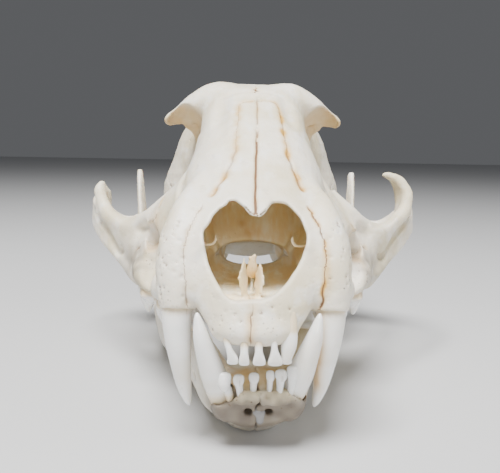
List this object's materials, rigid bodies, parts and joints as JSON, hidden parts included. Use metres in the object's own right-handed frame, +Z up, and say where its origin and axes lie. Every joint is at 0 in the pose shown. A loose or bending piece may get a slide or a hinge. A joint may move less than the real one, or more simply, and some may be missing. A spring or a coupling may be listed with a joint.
{
  "type": "caracal skull",
  "caption": "Wild cat skull with long canines, hooked brows, wide cheek arches and a heart-shaped nose opening, standing on its closed lower jaw.",
  "frame": {"origin": "on the table, under the middle of the skull's bounding box", "axes": "+Z up, -Y the way the skull faces, +X the animal's left"},
  "size_m": [0.0924, 0.1292, 0.0728],
  "materials": {
    "bone": "dry cleaned bone, standing in for bone with ivory teeth"
  },
  "bodies": {
    "root": {"braincase": "bone", "face": "bone", "cheek_arch_left": "bone", "cheek_arch_right": "bone", "lower_jaw_left": "bone", "lower_jaw_right": "bone"}
  },
  "joints": []
}
